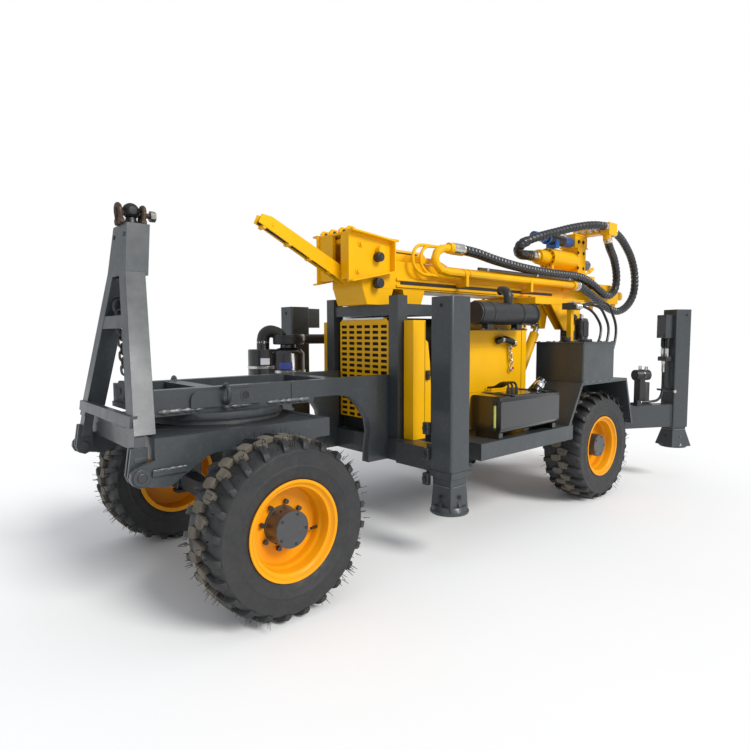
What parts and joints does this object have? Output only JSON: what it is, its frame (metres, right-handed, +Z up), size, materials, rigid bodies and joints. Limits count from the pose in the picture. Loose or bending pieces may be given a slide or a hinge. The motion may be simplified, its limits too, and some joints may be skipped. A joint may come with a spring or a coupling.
{
  "type": "water well drilling rig",
  "caption": "Trailer-mounted water well drilling rig: two-axle chassis with steered dolly and raised drawbar, tilting mast with sliding rotary head, four jack legs and engine bay.",
  "frame": {"origin": "on the ground under the middle of the rig (bottom centre of the bounding box)", "axes": "+X towards the drawbar, +Y to the side with the fuel tank, +Z up"},
  "size_m": [5.0156, 1.959, 2.2705],
  "materials": {
    "grey_paint": "satin",
    "yellow_paint": "gloss",
    "rim_paint": "gloss",
    "black_paint": "gloss",
    "tyre": "matte",
    "hose_rubber": "matte",
    "rod_chrome": "polished",
    "blue_paint": "gloss",
    "bare_steel": "worn"
  },
  "bodies": {
    "chassis": {"air_cleaners": "black_paint", "control_console": "grey_paint", "cooler_cover_far": "yellow_paint", "cooler_cover_near": "yellow_paint", "engine_block": "black_paint", "engine_panel_far": "yellow_paint", "engine_panel_near": "yellow_paint", "fender_far": "grey_paint", "fender_near": "grey_paint", "fuel_tank": "black_paint", "grille": "yellow_paint", "hose_loop_a": "hose_rubber", "hose_loop_b": "hose_rubber", "hose_loop_c": "hose_rubber", "jack_leg_front_far": "grey_paint", "jack_leg_front_near": "grey_paint", "main_frame": "grey_paint", "mast_post_far": "grey_paint", "mast_post_near": "grey_paint", "muffler": "black_paint", "neck_frame": "grey_paint", "oil_tank": "grey_paint", "portal_frame": "grey_paint", "rear_axle": "grey_paint"},
    "dolly": {"dolly_frame": "grey_paint", "front_axle": "grey_paint"},
    "drawbar": {"drawbar": "grey_paint", "tow_eye": "bare_steel"},
    "wheel_front_near": {"tyre_front_near": "tyre", "rim_front_near": "rim_paint"},
    "wheel_front_far": {"tyre_front_far": "tyre", "rim_front_far": "rim_paint"},
    "wheel_rear_near": {"tyre_rear_near": "tyre", "rim_rear_near": "rim_paint"},
    "wheel_rear_far": {"tyre_rear_far": "tyre", "rim_rear_far": "rim_paint"},
    "mast": {"mast_beam": "yellow_paint", "mast_head": "yellow_paint", "mast_cradle": "yellow_paint", "mud_pipe": "yellow_paint", "hose_outer": "hose_rubber", "hose_inner": "hose_rubber"},
    "jib": {"hoist_jib": "yellow_paint"},
    "rotary": {"rotary_head": "yellow_paint", "rotary_motor": "blue_paint", "swivel": "bare_steel", "hose_swivel": "hose_rubber"},
    "lift_barrel_near": {"lift_barrel_near": "yellow_paint"},
    "lift_rod_near": {"lift_rod_near": "rod_chrome"},
    "outrigger_near": {"outrigger_arm_near": "grey_paint", "arm_pump": "black_paint", "hose_leg": "hose_rubber"},
    "foot_rear_near": {"jack_foot_rear_near": "grey_paint"},
    "foot_front_near": {"jack_foot_front_near": "grey_paint"},
    "lift_barrel_far": {"lift_barrel_far": "yellow_paint"},
    "lift_rod_far": {"lift_rod_far": "rod_chrome"},
    "outrigger_far": {"outrigger_arm_far": "grey_paint"},
    "foot_rear_far": {"jack_foot_rear_far": "grey_paint"},
    "foot_front_far": {"jack_foot_front_far": "grey_paint"}
  },
  "joints": [
    {"name": "steering", "type": "hinge", "parent": "chassis", "child": "dolly", "pos_m": [1.93, 0, 0.8588], "axis": [0, 0, 1], "range_deg": [-30, 30]},
    {"name": "drawbar_fold", "type": "hinge", "parent": "dolly", "child": "drawbar", "pos_m": [2.471, 0, 0.6745], "axis": [0, 1, 0], "range_deg": [0, 100]},
    {"name": "wheel_spin_front_near", "type": "hinge", "parent": "dolly", "child": "wheel_front_near", "pos_m": [1.93, 0.655, 0.405], "axis": [0, 1, 0], "continuous": true},
    {"name": "wheel_spin_front_far", "type": "hinge", "parent": "dolly", "child": "wheel_front_far", "pos_m": [1.93, -0.655, 0.405], "axis": [0, 1, 0], "continuous": true},
    {"name": "wheel_spin_rear_near", "type": "hinge", "parent": "chassis", "child": "wheel_rear_near", "pos_m": [-0.83, 0.655, 0.405], "axis": [0, 1, 0], "continuous": true},
    {"name": "wheel_spin_rear_far", "type": "hinge", "parent": "chassis", "child": "wheel_rear_far", "pos_m": [-0.83, -0.655, 0.405], "axis": [0, 1, 0], "continuous": true},
    {"name": "mast_raise", "type": "hinge", "parent": "chassis", "child": "mast", "pos_m": [-1.22, 0, 1.3795], "axis": [0, -1, 0], "range_deg": [0, 90]},
    {"name": "jib_fold", "type": "hinge", "parent": "mast", "child": "jib", "pos_m": [1.07, 0, 1.6095], "axis": [0, -1, 0], "range_deg": [0, 35]},
    {"name": "rotary_feed", "type": "slide", "parent": "mast", "child": "rotary", "axis": [1, 0, 0], "range_m": [0, 1.45]},
    {"name": "lift_barrel_pivot_near", "type": "hinge", "parent": "chassis", "child": "lift_barrel_near", "pos_m": [-0.52, 0.15, 0.6895], "axis": [0, -1, 0], "range_deg": [0, 2.08]},
    {"name": "lift_rod_slide_near", "type": "slide", "parent": "lift_barrel_near", "child": "lift_rod_near", "axis": [-0.5241, 0, 0.8517], "range_m": [0, 0.4266]},
    {"name": "lift_barrel_pivot_far", "type": "hinge", "parent": "chassis", "child": "lift_barrel_far", "pos_m": [-0.52, -0.15, 0.6895], "axis": [0, -1, 0], "range_deg": [0, 2.08]},
    {"name": "lift_rod_slide_far", "type": "slide", "parent": "lift_barrel_far", "child": "lift_rod_far", "axis": [-0.5241, 0, 0.8517], "range_m": [0, 0.4266]},
    {"name": "outrigger_swing_near", "type": "hinge", "parent": "chassis", "child": "outrigger_near", "pos_m": [-1.37, 0.58, 0.5495], "axis": [0, 0, -1], "range_deg": [-22, 50]},
    {"name": "jack_rear_near", "type": "slide", "parent": "outrigger_near", "child": "foot_rear_near", "axis": [0, 0, -1], "range_m": [0, 0.25]},
    {"name": "jack_front_near", "type": "slide", "parent": "chassis", "child": "foot_front_near", "axis": [0, 0, -1], "range_m": [0, 0.25]},
    {"name": "outrigger_swing_far", "type": "hinge", "parent": "chassis", "child": "outrigger_far", "pos_m": [-1.37, -0.58, 0.5495], "axis": [0, 0, 1], "range_deg": [-22, 50]},
    {"name": "jack_rear_far", "type": "slide", "parent": "outrigger_far", "child": "foot_rear_far", "axis": [0, 0, -1], "range_m": [0, 0.25]},
    {"name": "jack_front_far", "type": "slide", "parent": "chassis", "child": "foot_front_far", "axis": [0, 0, -1], "range_m": [0, 0.25]}
  ],
  "couplings": [
    {"joint": "lift_barrel_pivot_near", "follows": "mast_raise", "ratio": 0.023144},
    {"joint": "lift_rod_slide_near", "follows": "mast_raise", "m_per_rad": 0.27158},
    {"joint": "lift_barrel_pivot_far", "follows": "mast_raise", "ratio": 0.023144},
    {"joint": "lift_rod_slide_far", "follows": "mast_raise", "m_per_rad": 0.27158}
  ]
}
